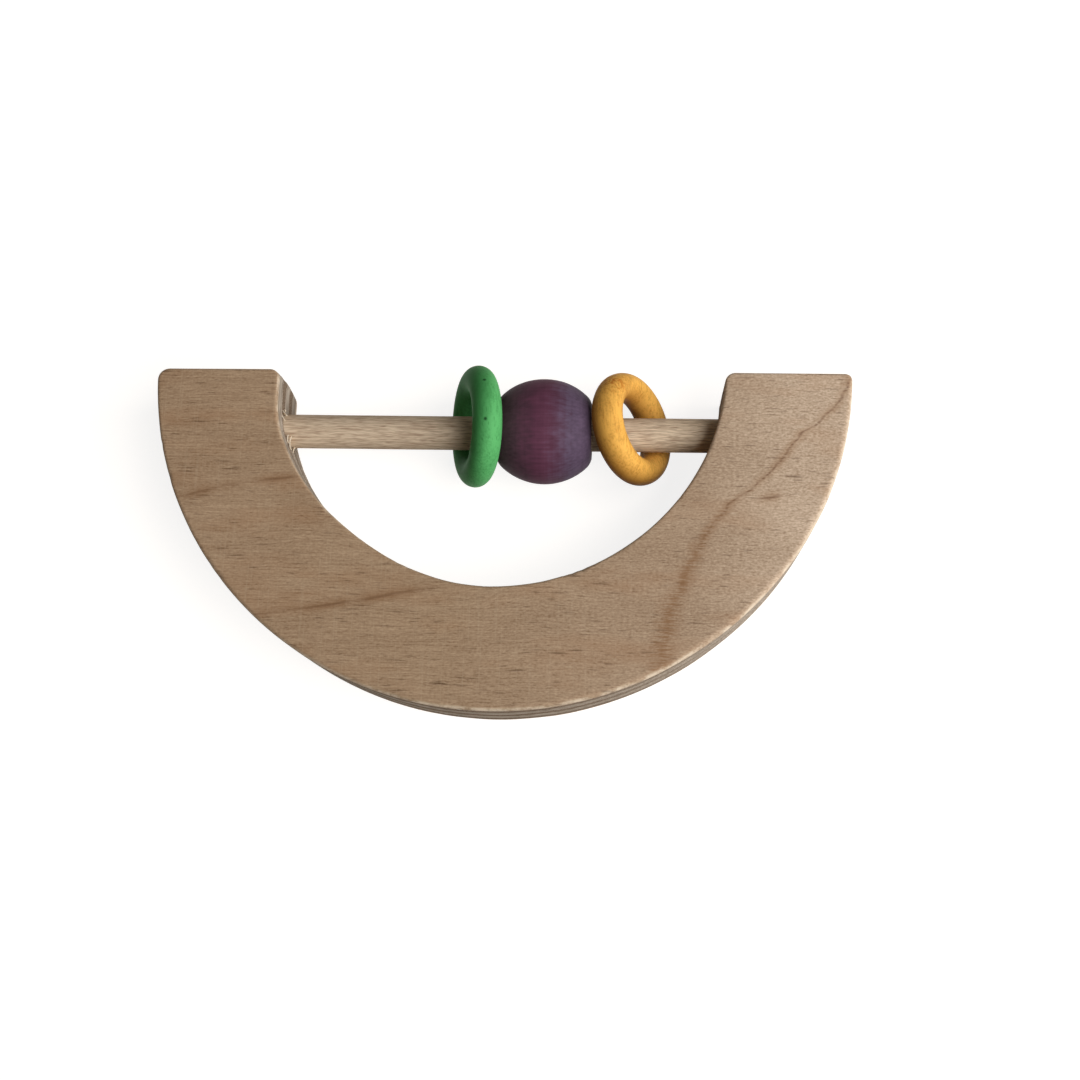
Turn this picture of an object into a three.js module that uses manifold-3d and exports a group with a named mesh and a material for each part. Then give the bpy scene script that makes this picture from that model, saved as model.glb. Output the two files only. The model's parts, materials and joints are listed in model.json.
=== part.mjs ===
// A wooden bird rattle: a plywood half ring whose two arms hold a beech dowel, with two turned
// rings and a barrel bead threaded loosely on it. Units are millimetres and +Z is up.
// The half ring lies on its back, with the dowel along X and the open side towards +Y.
// The origin is on the back face, in the middle of the band below the centre of the arc.
import * as THREE from "three";
import { mergeVertices } from "three/addons/utils/BufferGeometryUtils.js";
import Module from "manifold-3d";

const wasm = await Module();
wasm.setup();

// Half ring
const OUTER_RADIUS = 76;
const INNER_RADIUS = 49.5;
const OPENING_LEFT = 0.5; // the opening is sawn by hand, a little off the outer arc's centre
const OPENING_DROP = 0.5;
const BOARD_THICKNESS = 18;
const FACE_VENEER_THICKNESS = 1.5;
const ARM_END_DROP = 2; // from the centre of the arc down to the sawn arm ends
const LEFT_CORNER_RADIUS = 2.5; // outer corner of the left arm
const RIGHT_CORNER_RADIUS = 1.5; // outer corner of the right arm
const INNER_CORNER_RADIUS = 2;
const SANDED_EDGE_RADIUS = 0.8;

// Dowel, glued into a hole drilled through the left arm and on into the right one
const DOWEL_DIAMETER = 7.5;
const DOWEL_DROP = 11.5; // from the arm ends down to the dowel's axis
const BLIND_HOLE_DEPTH = 14;
const GLUE_GAP = 0.2;

// Bead and rings
const BEAD_DIAMETER = 23.2;
const BEAD_WIDTH = 21;
const BEAD_CURVE_LENGTH = 25.7; // where the barrel's curve would meet the axis, end to end
const BEAD_PLAY = 2.5; // bore over dowel
const BEAD_BORE_ROUND = 0.6;
const BEAD_PLACE = 9.7; // along the dowel from the middle of the rattle
const RING_PLAY = 6; // bore over dowel
const GREEN_RING_SECTION = 6.7; // across the ring's section, outwards from its axis
const GREEN_RING_WIDTH = 6.4; // along the ring's axis
const YELLOW_RING_SECTION = 6;
const YELLOW_RING_WIDTH = 7;
const SEAT_GAP = 0.3; // between loose pieces that lean on each other

// How the loose pieces lie: each leans about Y, turns about Z, and is pushed off the dowel's
// centre along a direction that is counted from +Y round to +Z
const GREEN_RING_LEAN = THREE.MathUtils.degToRad(19);
const GREEN_RING_TURN = THREE.MathUtils.degToRad(4.8);
const GREEN_RING_SEAT = THREE.MathUtils.degToRad(68);
const BEAD_SEAT = THREE.MathUtils.degToRad(75);
const YELLOW_RING_LEAN = THREE.MathUtils.degToRad(-33.5);
const YELLOW_RING_TURN = THREE.MathUtils.degToRad(7);
const YELLOW_RING_SEAT = THREE.MathUtils.degToRad(26);

// Facets
const OUTER_ARC_STEPS = 72;
const INNER_ARC_STEPS = 60;
const CORNER_STEPS = 5;
const SANDED_EDGE_STEPS = 2;
const DOWEL_SIDES = 32;
const BEAD_SIDES = 48;
const BEAD_CURVE_STEPS = 16;
const BORE_ROUND_STEPS = 3;
const RING_SIDES = 48;
const RING_SECTION_SIDES = 16;

// Sizes that follow
const arcCentreY = (OUTER_RADIUS + INNER_RADIUS + OPENING_DROP) / 2;
const dowelRadius = DOWEL_DIAMETER / 2;
const dowelBelowArc = ARM_END_DROP + DOWEL_DROP;
const dowelZ = BOARD_THICKNESS / 2;
const drillRadius = dowelRadius + GLUE_GAP;
const rightWallX =
  Math.sqrt(INNER_RADIUS ** 2 - (dowelBelowArc - OPENING_DROP) ** 2) - OPENING_LEFT;
const holeEndX = rightWallX + BLIND_HOLE_DEPTH;

const plyNames = [
  "back_face_veneer",
  "back_cross_ply",
  "back_inner_ply",
  "core_ply",
  "front_inner_ply",
  "front_cross_ply",
  "front_face_veneer",
];

const faceVeneerWood = { color: 0xb0916f, roughness: 0.62, metalness: 0 };
const longPlyWood = { color: 0xb9a284, roughness: 0.7, metalness: 0 };
const crossPlyWood = { color: 0x8a7257, roughness: 0.8, metalness: 0 };
const beech = { color: 0xc7ab8b, roughness: 0.6, metalness: 0 };
const greenDye = { color: 0x2f8f45, roughness: 0.42, metalness: 0 };
const purpleDye = { color: 0x55334f, roughness: 0.45, metalness: 0 };
const yellowDye = { color: 0xe3a235, roughness: 0.42, metalness: 0 };

// A closed geometry as a solid that can be cut and joined.
function solidFrom(geometry) {
  const bare = geometry.clone();
  bare.deleteAttribute("normal");
  bare.deleteAttribute("uv");
  const merged = mergeVertices(bare, 1e-4);
  return new wasm.Manifold(
    new wasm.Mesh({
      numProp: 3,
      vertProperties: new Float32Array(merged.attributes.position.array),
      triVerts: new Uint32Array(merged.index.array),
    }),
  );
}

function geometryFrom(solid) {
  const mesh = solid.getMesh();
  const geometry = new THREE.BufferGeometry();
  geometry.setAttribute("position", new THREE.BufferAttribute(mesh.vertProperties, 3));
  geometry.setIndex(new THREE.BufferAttribute(mesh.triVerts, 1));
  geometry.computeVertexNormals();
  return geometry;
}

function namedMesh(name, geometry, finish) {
  const mesh = new THREE.Mesh(geometry, new THREE.MeshStandardMaterial(finish));
  mesh.name = name;
  return mesh;
}

function arcPoints(centreX, centreY, radius, from, to, steps) {
  return Array.from({ length: steps + 1 }, (_, i) => {
    const angle = from + ((to - from) * i) / steps;
    return new THREE.Vector2(
      centreX + radius * Math.cos(angle),
      centreY + radius * Math.sin(angle),
    );
  });
}

// Half ring

// The round of a corner of the right arm, counted from the centre of the arc that it touches.
function cornerRound(radius, arcCentre, fromArcCentre) {
  const y = -ARM_END_DROP - radius - arcCentre.y;
  const x = Math.sqrt(fromArcCentre ** 2 - y ** 2);
  return { radius, arcCentre, x, y, angle: Math.atan2(y, x) };
}

function roundPoints(round, side, from, to) {
  const x = round.arcCentre.x + side * round.x;
  const y = round.arcCentre.y + round.y;
  return arcPoints(x, y, round.radius, from, to, CORNER_STEPS);
}

// The outline runs round the outer arc, over the right arm's end, back along the inner arc and
// over the left arm's end. Each corner is a round that touches an arc and the sawn end.
function halfRingOutline() {
  const centre = new THREE.Vector2(0, 0);
  const opening = new THREE.Vector2(-OPENING_LEFT, -OPENING_DROP);
  const left = cornerRound(LEFT_CORNER_RADIUS, centre, OUTER_RADIUS - LEFT_CORNER_RADIUS);
  const right = cornerRound(RIGHT_CORNER_RADIUS, centre, OUTER_RADIUS - RIGHT_CORNER_RADIUS);
  const inner = cornerRound(INNER_CORNER_RADIUS, opening, INNER_RADIUS + INNER_CORNER_RADIUS);
  const up = Math.PI / 2;
  const turn = Math.PI;
  const outline = [
    arcPoints(
      centre.x,
      centre.y,
      OUTER_RADIUS,
      turn - left.angle,
      2 * turn + right.angle,
      OUTER_ARC_STEPS,
    ),
    roundPoints(right, 1, right.angle, up),
    roundPoints(inner, 1, up, turn + inner.angle),
    arcPoints(
      opening.x,
      opening.y,
      INNER_RADIUS,
      2 * turn + inner.angle,
      turn - inner.angle,
      INNER_ARC_STEPS,
    ),
    roundPoints(inner, -1, -inner.angle, up),
    roundPoints(left, -1, up, turn - left.angle),
  ].flat();
  return new THREE.Shape(
    outline.filter((point, i) => point.distanceTo(outline.at(i - 1)) > 1e-6),
  );
}

// A rod along X, at the dowel's axis.
function rodAlongX(radius, fromX, toX) {
  const rod = new THREE.CylinderGeometry(radius, radius, toX - fromX, DOWEL_SIDES);
  rod.rotateZ(Math.PI / 2);
  rod.translate((fromX + toX) / 2, -dowelBelowArc, dowelZ);
  return rod;
}

// The sanded board with its drilled hole.
function board() {
  const edge = Math.min(SANDED_EDGE_RADIUS, FACE_VENEER_THICKNESS);
  const blank = new THREE.ExtrudeGeometry(halfRingOutline(), {
    depth: BOARD_THICKNESS - 2 * edge,
    bevelThickness: edge,
    bevelSize: edge,
    bevelOffset: -edge,
    bevelSegments: SANDED_EDGE_STEPS,
  });
  blank.translate(0, 0, edge);
  const hole = rodAlongX(drillRadius, -OUTER_RADIUS - drillRadius, holeEndX);
  return solidFrom(blank).subtract(solidFrom(hole));
}

// The board parted into its veneers, from the back face up. Where the hole is wider than a ply
// is thick it cuts the end of the left arm off that ply, and the end is a piece of its own.
function plies() {
  const innerThickness =
    (BOARD_THICKNESS - 2 * FACE_VENEER_THICKNESS) / (plyNames.length - 2);
  let rest = board();
  return plyNames.flatMap((name, i) => {
    const top = FACE_VENEER_THICKNESS + i * innerThickness;
    const isFront = i === plyNames.length - 1;
    const [above, ply] = isFront ? [null, rest] : rest.splitByPlane([0, 0, 1], top);
    rest = above;
    const isFace = i === 0 || isFront;
    const wood = isFace ? faceVeneerWood : i % 2 ? crossPlyWood : longPlyWood;
    const bodies = ply.decompose().sort((a, b) => b.volume() - a.volume());
    return bodies.map((body, k) =>
      namedMesh(k ? `${name}_arm_end` : name, geometryFrom(body), wood),
    );
  });
}

// The dowel is sanded flush with the outer arc on the left and stops short of the hole's end on
// the right.
function dowel() {
  const rod = rodAlongX(dowelRadius, -OUTER_RADIUS - dowelRadius, holeEndX - GLUE_GAP);
  const disc = new THREE.CylinderGeometry(
    OUTER_RADIUS,
    OUTER_RADIUS,
    BOARD_THICKNESS,
    2 * OUTER_ARC_STEPS,
  );
  disc.rotateX(Math.PI / 2);
  disc.translate(0, 0, dowelZ);
  return namedMesh("dowel", geometryFrom(solidFrom(rod).intersect(solidFrom(disc))), beech);
}

// Bead and rings

// Half the bead's length at a distance from its own axis.
function beadHalfLength(distance) {
  const share = Math.min((2 * distance) / BEAD_DIAMETER, 1);
  return Math.min((BEAD_CURVE_LENGTH / 2) * Math.sqrt(1 - share ** 2), BEAD_WIDTH / 2);
}

// A closed profile of (distance from the axis, place along it), turned about X.
function turnedAboutX(profile, sides) {
  const turned = new THREE.LatheGeometry([...profile, profile[0]], sides);
  turned.rotateZ(-Math.PI / 2);
  return turned;
}

// A barrel with flat ends and a bore whose mouths are rounded.
function beadGeometry() {
  const half = BEAD_WIDTH / 2;
  const bore = (DOWEL_DIAMETER + BEAD_PLAY) / 2;
  const round = BEAD_BORE_ROUND;
  const endAngle = Math.acos(BEAD_WIDTH / BEAD_CURVE_LENGTH);
  const barrel = Array.from({ length: BEAD_CURVE_STEPS + 1 }, (_, i) => {
    const angle = endAngle + ((Math.PI - 2 * endAngle) * i) / BEAD_CURVE_STEPS;
    return new THREE.Vector2(
      (BEAD_DIAMETER / 2) * Math.sin(angle),
      (-BEAD_CURVE_LENGTH / 2) * Math.cos(angle),
    );
  });
  const mouth = (place, from, to) =>
    arcPoints(bore + round, place, round, from, to, BORE_ROUND_STEPS);
  const turn = Math.PI / 2;
  return turnedAboutX(
    [
      ...mouth(round - half, 2 * turn, 3 * turn),
      ...barrel,
      ...mouth(half - round, turn, 2 * turn),
    ],
    BEAD_SIDES,
  );
}

function ringGeometry(section, width) {
  const middle = (DOWEL_DIAMETER + RING_PLAY + section) / 2;
  const step = (2 * Math.PI) / RING_SECTION_SIDES;
  const profile = Array.from(
    { length: RING_SECTION_SIDES },
    (_, i) =>
      new THREE.Vector2(
        middle + (section / 2) * Math.cos(i * step),
        (width / 2) * Math.sin(i * step),
      ),
  );
  return turnedAboutX(profile, RING_SIDES);
}

// The points of a mesh as it is turned, before it is placed.
function turnedPoints(mesh) {
  const position = mesh.geometry.getAttribute("position");
  return Array.from({ length: position.count }, (_, i) =>
    new THREE.Vector3().fromBufferAttribute(position, i).applyEuler(mesh.rotation),
  );
}

// Pushes a piece off the dowel's centre until its bore is one seat gap from the dowel.
function seatOnDowel(mesh, direction) {
  const points = turnedPoints(mesh);
  const y = Math.cos(direction);
  const z = Math.sin(direction);
  const nearest = (push) =>
    Math.min(...points.map((p) => Math.hypot(p.y + push * y, p.z + push * z)));
  let low = 0;
  let high = DOWEL_DIAMETER + RING_PLAY;
  while (high - low > 1e-4) {
    const push = (low + high) / 2;
    if (nearest(push) > dowelRadius + SEAT_GAP) low = push;
    else high = push;
  }
  mesh.position.set(0, low * y, low * z);
}

// Slides a seated ring along the dowel, towards +X or -X of the bead, until it leans on the bead.
function leanOnBead(ring, bead, side) {
  const reach = turnedPoints(ring).map((p) => {
    const fromBead = Math.hypot(
      p.y + ring.position.y - bead.position.y,
      p.z + ring.position.z - bead.position.z,
    );
    return beadHalfLength(fromBead) - side * p.x;
  });
  ring.position.x = bead.position.x + side * (Math.max(...reach) + SEAT_GAP);
}

function threadedPieces() {
  const bead = namedMesh("purple_bead", beadGeometry(), purpleDye);
  seatOnDowel(bead, BEAD_SEAT);
  bead.position.x = BEAD_PLACE;

  const greenRing = namedMesh(
    "green_ring",
    ringGeometry(GREEN_RING_SECTION, GREEN_RING_WIDTH),
    greenDye,
  );
  greenRing.rotation.set(0, GREEN_RING_LEAN, GREEN_RING_TURN, "ZYX");
  seatOnDowel(greenRing, GREEN_RING_SEAT);
  leanOnBead(greenRing, bead, -1);

  const yellowRing = namedMesh(
    "yellow_ring",
    ringGeometry(YELLOW_RING_SECTION, YELLOW_RING_WIDTH),
    yellowDye,
  );
  yellowRing.rotation.set(0, YELLOW_RING_LEAN, YELLOW_RING_TURN, "ZYX");
  seatOnDowel(yellowRing, YELLOW_RING_SEAT);
  leanOnBead(yellowRing, bead, 1);

  const threaded = new THREE.Group();
  threaded.position.set(0, -dowelBelowArc, dowelZ);
  threaded.add(greenRing, bead, yellowRing);
  return threaded;
}

// The pieces are made round the centre of the arc, which lies above the origin along Y.
const aboutArcCentre = new THREE.Group();
aboutArcCentre.position.y = arcCentreY;
aboutArcCentre.add(...plies(), dowel(), threadedPieces());

const rattle = new THREE.Group();
rattle.add(aboutArcCentre);

export default rattle;
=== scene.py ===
"""A wooden bird rattle: a plywood half ring with a beech dowel between its arms, and two dyed rings
and a barrel bead threaded loosely on the dowel. Every length is in metres, in the frame of the part.
"""

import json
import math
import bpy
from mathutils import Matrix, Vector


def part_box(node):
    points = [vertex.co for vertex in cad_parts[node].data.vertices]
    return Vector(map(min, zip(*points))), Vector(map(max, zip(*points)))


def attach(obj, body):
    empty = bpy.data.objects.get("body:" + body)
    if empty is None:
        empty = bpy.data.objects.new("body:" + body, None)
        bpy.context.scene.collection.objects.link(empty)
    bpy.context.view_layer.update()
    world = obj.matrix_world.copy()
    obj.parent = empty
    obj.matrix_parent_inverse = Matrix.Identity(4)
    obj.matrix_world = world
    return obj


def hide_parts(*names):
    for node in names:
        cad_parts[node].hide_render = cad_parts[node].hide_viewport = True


bl_info = {
    "name": "Wooden Bird Rattle",
    "version": (1, 0, 0),
    "blender": (4, 5, 0),
    "location": "3D View > Sidebar > Rattle",
    "description": "Builds a plywood half ring with a dowel, two turned rings and a bead",
    "category": "Add Mesh",
}

import bmesh
import bpy
import numpy as np
from bpy.props import FloatProperty, FloatVectorProperty, PointerProperty
from mathutils import Euler, Matrix, Vector, noise

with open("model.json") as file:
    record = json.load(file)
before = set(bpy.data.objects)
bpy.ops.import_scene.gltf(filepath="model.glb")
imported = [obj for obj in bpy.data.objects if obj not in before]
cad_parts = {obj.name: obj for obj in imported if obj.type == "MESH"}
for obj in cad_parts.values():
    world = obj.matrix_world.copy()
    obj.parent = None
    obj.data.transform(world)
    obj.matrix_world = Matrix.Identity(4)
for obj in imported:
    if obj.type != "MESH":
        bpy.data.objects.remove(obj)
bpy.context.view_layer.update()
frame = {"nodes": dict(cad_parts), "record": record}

MM = 0.001
SLOT_OF = {part["node"]: part["material_slot"] for part in frame["record"]["subparts"]}
BODY_OF = {
    node: body
    for body, nodes in frame["record"]["behaviour"]["bodies"].items()
    for node in nodes
}
FRONT_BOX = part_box("front_face_veneer")
DOWEL_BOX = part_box("dowel")
DOWEL_AXIS = (DOWEL_BOX[0] + DOWEL_BOX[1]) / 2
DOWEL_RADIUS = (DOWEL_BOX[1].y - DOWEL_BOX[0].y) / 2

SHARP_EDGE = math.radians(40)


def linear(hex_colour):
    """An sRGB hex colour as linear red, green, blue and alpha."""
    channels = [int(hex_colour[i : i + 2], 16) / 255 for i in (0, 2, 4)]
    return tuple(
        c / 12.92 if c <= 0.04045 else ((c + 0.055) / 1.055) ** 2.4 for c in channels
    ) + (1.0,)


def per_mm(x, y, z):
    """The mapping scale at which one unit of a pattern is x, y and z millimetres long."""
    return (1 / (x * MM), 1 / (y * MM), 1 / (z * MM))


# Settings


def length(name, description, millimetres):
    return FloatProperty(
        name=name, description=description, default=millimetres * MM, min=0, unit="LENGTH", precision=4
    )


def colour(name, description, hex_colour):
    return FloatVectorProperty(
        name=name,
        description=description,
        default=linear(hex_colour),
        size=4,
        min=0,
        max=1,
        subtype="COLOR",
    )


class HalfRingSettings(bpy.types.PropertyGroup):
    outer_radius: length("Outer radius", "From the centre of the arc to the outer edge", 76)
    inner_radius: length("Inner radius", "From the centre of the opening to its edge", 49.5)
    opening_left: length("Opening left", "From the outer arc's centre to the opening's, to the left", 0.5)
    opening_drop: length("Opening drop", "From the outer arc's centre to the opening's, downwards", 0.5)
    left_corner: length("Left corner", "Round of the left arm's outer corner", 2.5)
    right_corner: length("Right corner", "Round of the right arm's outer corner", 1.5)
    inner_corner: length("Inner corner", "Round of the arms' inner corners", 2.2)
    full_corner: length("Full corner", "How far the left arm's end is left wider by the saw", 1.15)
    bulge: length("Bulge", "How far the left inner corner stands out half-way through the board", 0.5)
    sanded_edge: length("Sanded edge", "Round of the edges of both faces", 0.8)
    face_dark: colour("Face, dark grain", "Dark lines in the face veneer", "a0876f")
    face_light: colour("Face, light grain", "Light lines in the face veneer", "d8c1a9")
    # These three tints are partly the board's own colour and partly painted shade, darker away from the
    # right arm where the light falls
    left_tone_and_shade: colour("Left tone", "Tints the face of the left arm", "dcd2c5")
    middle_tone_and_shade: colour("Middle tone", "Tints the face of the band, where it is brownest", "d7cec1")
    right_tone_and_shade: colour("Right tone", "Tints the face on the way to the right arm", "e0dad3")
    fleck: colour("Flecks", "Short dark ray flecks in the face", "5c432f")
    growth_line: colour("Growth lines", "Brown late-wood lines in the face", "997453")
    growth_core: colour("Growth line core", "Dark thread in the middle of a late-wood line", "6b4d39")
    warm_patch: colour("Warm patches", "Soft brown clouds in the face", "a67c58")
    scratch: colour("Scratches", "Pale marks of the sandpaper across the grain", "dccdb8")
    sanded_rim: colour("Sanded rim", "Pale wood where the face's edge is sanded through", "dccbb4")
    side_grain: colour("Ply edge, side grain", "A ply's edge cut along its grain", "c1b4a5")
    end_grain: colour("Ply edge, end grain", "A ply's edge cut across its grain", "8c7966")


class DowelSettings(bpy.types.PropertyGroup):
    glue_gap: length("Glue gap", "Between the dowel and its hole", 0.2)
    light: colour("Beech", "Pale wood between the rays", "dfcbb0")
    dark: colour("Beech rays", "Darker lengthwise streaks", "a28972")
    fleck: colour("Beech flecks", "Fine dark dashes along the dowel", "7f6453")
    torn: colour("Torn fibres", "Pale fibres torn up round the drilled hole", "f4ead8")


class ThreadedSettings(bpy.types.PropertyGroup):
    ring_bore: length("Ring bore", "Diameter of the holes in both rings", 13.5)
    green_section: length("Green ring section", "Outwards from the ring's axis", 6.7)
    green_width: length("Green ring width", "Along the ring's axis", 6.4)
    yellow_section: length("Yellow ring section", "Outwards from the ring's axis", 6.0)
    yellow_width: length("Yellow ring width", "Along the ring's axis", 7.0)
    bead_diameter: length("Bead diameter", "Across the middle of the barrel", 23.2)
    bead_width: length("Bead width", "Between the flat ends", 21.0)
    bead_curve: length("Bead curve", "Where the barrel's curve would meet the axis, end to end", 25.7)
    bead_bore: length("Bead bore", "Diameter of the bead's hole", 10.0)
    bead_mouth: length("Bead mouth", "Round of the mouths of the bore", 0.6)
    bead_shoulder: length("Bead shoulder", "How far the flat ends are worn round", 1.1)
    green: colour("Green dye", "Dyed wood of the green ring", "5cae67")
    green_dark: colour("Green dye, dark grain", "Where the grain takes more dye", "2f7039")
    plum: colour("Plum dye", "Dyed wood of the bead", "5e4350")
    magenta: colour("Plum dye, warm band", "Where the bead took less of the dye", "653c4f")
    # The cool end is partly the bead's dye and partly a painted sheen, lighter and bluer on the side the
    # light comes from
    violet_and_sheen: colour("Plum dye, cool end", "Bluer dye towards one end of the bead", "5f4e62")
    amber: colour("Amber dye", "Dyed wood of the yellow ring", "f0b557")
    amber_dark: colour("Amber dye, dark grain", "Where the grain takes more dye", "8a5119")
    amber_curl: colour("Amber dye, curl", "Curled grain near the top of the ring", "bd6c20")


class StageSettings(bpy.types.PropertyGroup):
    lens: FloatProperty(
        name="Lens", description="Focal length on a 36 mm sensor", default=42.78, subtype="DISTANCE_CAMERA"
    )
    roll: FloatProperty(
        name="Roll", description="Camera's turn about its view", default=math.radians(1.791), subtype="ANGLE"
    )
    floor_colour: colour("Floor", "Plain pale floor", "a59d93")
    floor_lift: FloatProperty(
        name="Floor lift",
        description="How much the floor's own white adds to its lit colour",
        default=0.84,
        min=0,
    )
    soft_box_size: length("Soft box", "Side of the square soft box", 950)
    soft_box_power: FloatProperty(
        name="Soft box power", description="Light of the soft box", default=12.8, min=0, unit="POWER"
    )
    fill: FloatProperty(name="Fill", description="Even light from all round", default=0.08, min=0)
    fill_colour: colour("Fill colour", "Light that comes back from the wood and the room", "fff0dc")


# Materials

WOOD_IOR = 1.5
BUMP_STRENGTH = 0.6
WHITE = (1, 1, 1, 1)


def add_node(tree, kind, inputs=None, stops=(), **settings):
    """Adds a node with its settings, a ramp's stops, and its inputs by name or number: each a value or a
    node or output to link from."""
    node = tree.nodes.new(kind)
    for name, value in settings.items():
        setattr(node, name, value)
    if stops:
        elements = node.color_ramp.elements
        elements[0].position, elements[0].color = stops[0]
        elements[-1].position, elements[-1].color = stops[-1]
        for place, stop_colour in stops[1:-1]:
            elements.new(place).color = stop_colour
    for key, value in (inputs or {}).items():
        named = [s for s in node.inputs if s.enabled and s.name == key]
        socket = named[0] if named else node.inputs[key]
        if isinstance(value, bpy.types.Node):
            value = next(s for s in value.outputs if s.enabled)
        if isinstance(value, bpy.types.NodeSocket):
            tree.links.new(value, socket)
        else:
            socket.default_value = value
    return node


def add_math(tree, operation, *values):
    return add_node(tree, "ShaderNodeMath", dict(enumerate(values)), operation=operation)


def add_vector_math(tree, operation, *values):
    return add_node(tree, "ShaderNodeVectorMath", dict(enumerate(values)), operation=operation)


def add_range(tree, value, start, end, first, last):
    """Goes from first to last while the value goes from start to end."""
    return add_node(tree, "ShaderNodeMapRange", {"Value": value, 1: start, 2: end, 3: first, 4: last})


def add_mix(tree, share, under, over, blend="MIX"):
    """A share of one colour over another."""
    inputs = {"Factor": share, "A": under, "B": over}
    return add_node(tree, "ShaderNodeMix", inputs, data_type="RGBA", blend_type=blend)


def add_ramp(tree, value, *stops):
    return add_node(tree, "ShaderNodeValToRGB", {"Fac": value}, stops=stops)


def stretched(tree, place, sizes):
    """The place in a pattern whose unit is as long as the sizes in x, y and z, in millimetres."""
    return add_node(tree, "ShaderNodeMapping", {"Vector": place, "Scale": per_mm(*sizes)})


def add_noise(tree, place, sizes, detail=1.0, **more):
    """Noise with swells of the sizes in x, y and z, in millimetres."""
    inputs = {"Vector": stretched(tree, place, sizes), "Scale": 1.0, "Detail": detail, **more}
    return add_node(tree, "ShaderNodeTexNoise", inputs)


def layered_noise(tree, place, layers, start, detail):
    """Noises of several sizes, added up by their weights."""
    total = start
    for sizes, weight in layers:
        total = add_math(tree, "MULTIPLY_ADD", add_noise(tree, place, sizes, detail), weight, total)
    return total


def separate(tree, vector):
    return add_node(tree, "ShaderNodeSeparateXYZ", {"Vector": vector}).outputs


def shown_rays(tree):
    """One for rays that show a thing to the camera, also by a shine, and none for rays that light it."""
    ray = add_node(tree, "ShaderNodeLightPath").outputs
    seen = add_math(tree, "MAXIMUM", ray["Is Camera Ray"], ray["Is Glossy Ray"])
    return add_math(tree, "MAXIMUM", seen, ray["Is Transmission Ray"])


def new_material(name):
    material = bpy.data.materials.new(name)
    material.use_nodes = True
    tree = material.node_tree
    return material, tree, tree.nodes["Principled BSDF"]


def new_wood(name):
    """A material with its nodes, its shader, and the places and normals of the piece."""
    material, tree, shader = new_material(name)
    coordinates = add_node(tree, "ShaderNodeTexCoord").outputs
    return material, tree, shader, coordinates["Object"], coordinates["Normal"]


def finish_wood(tree, shader, base, height, depth, roughness, shine):
    """Joins a wood's colour and height to its shader. Open pores break up the shine of bare wood, and wax
    gives some of it back."""
    inputs = {"Height": height, "Strength": BUMP_STRENGTH, "Distance": depth}
    bump = add_node(tree, "ShaderNodeBump", inputs)
    tree.links.new(base.outputs[2], shader.inputs["Base Color"])
    tree.links.new(bump.outputs["Normal"], shader.inputs["Normal"])
    shader.inputs["Roughness"].default_value = roughness
    shader.inputs["IOR"].default_value = WOOD_IOR
    shader.inputs["Specular IOR Level"].default_value = shine


# Late-wood lines of the front face, in millimetres of the part's frame. Two on the left and a short
# one in the right arm run nearly level, at a height that bends with x, and the long one on the right
# comes down from the corner of the arm through these places, each y and x.
LEVEL_LINES = (
    {"bend": (-0.0037, -0.215, 33.9), "from": -72.0, "to": -39.0, "band": 0.6, "thread": 0.4},
    {"bend": (0.0008, 0.225, 15.1), "from": -54.0, "to": -8.0, "band": 0.6, "thread": 0.4},
    {"bend": (0.0, 0.194, 21.8), "from": 55.0, "to": 61.0, "band": 0.5, "thread": 0.7},
)
LONGEST_TAPER = 6
RIGHT_LINE = (
    (60, 76),
    (55, 73.2),
    (52.5, 71.5),
    (50, 68.5),
    (47.5, 65),
    (45, 63.4),
    (40.5, 60.2),
    (36, 55.4),
    (31.5, 49.6),
    (26, 45.5),
    (20, 42),
    (8, 37),
    (-6, 35),
)

# Grain of the face: how long and how high its marks are in millimetres, and how much they show in
# the left arm and in the right one
GRAIN_LAYERS = (
    (30, 7, 0.35, 0.3),
    (9, 0.36, 0.55, 0.2),
    (1.5, 0.3, 0.5, 0.6),
    (0.6, 0.36, 0.5, 0.85),
)

# Grain of the dowel, the rings and the bead: the sizes of the swells in millimetres and their weight
DOWEL_GRAIN = (((9, 0.34, 0.34), 0.45), ((3, 0.25, 0.25), 0.65))
RING_GRAIN = (((0.4, 3, 0.4), 0.45), ((2.5, 6, 2.5), 0.4), ((0.4, 0.4, 0.4), 0.3))
BEAD_GRAIN = (((7, 0.55, 0.55), 0.75), ((0.45, 30, 30), 0.3), ((3, 3, 3), 0.65))

# The rim is sanded widest where it faces this way, at the lower right of the outer arc. It is also painted
# palest there: partly sanded-through wood and partly painted light on the side the light comes from
WORN_AND_LIT_SIDE = (0.6, -0.8)

# Thin marks in the woods: their spacing in x, y and z in millimetres, the share of places with no
# mark, and how strong the marks are
DARK_FLECKS = (
    ((9, 0.8, 0.8), 0.74, 0.85),
    ((5, 0.6, 0.6), 0.66, 0.55),
    ((2, 0.5, 0.5), 0.66, 0.35),
)
PALE_SPECKS = (((3.4, 0.9, 0.9), 0.8, 0.5),)
DOWEL_FLECKS = (((7, 0.6, 0.6), 0.3, 0.6), ((3.5, 0.5, 0.5), 0.4, 0.45))
RING_FLECKS = (((0.6, 3, 0.6), 0.4, 0.5),)

# How far a mark in a ring goes at full strength and how far it reaches, in millimetres
CURL_REACH = (1.5, 4.5)
PORE_REACH = (0.2, 0.5)
MARK_STRENGTH = 0.85


def add_marks(tree, wood, place, marks, tint, mosaic="3D"):
    """Thin marks over a wood, each a lens in one cell of a stretched mosaic."""
    for spacing, none, strength in marks:
        inputs = {"Vector": stretched(tree, place, spacing), "Scale": 1.0}
        cell = add_node(tree, "ShaderNodeTexVoronoi", inputs, voronoi_dimensions=mosaic)
        shape = add_range(tree, cell.outputs["Distance"], 0.08, 0.3, 1.0, 0.0)
        picked = add_range(tree, cell.outputs["Color"], none, none + 0.2, 0.0, strength)
        wood = add_mix(tree, add_math(tree, "MULTIPLY", shape, picked), wood, tint)
    return wood


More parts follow.
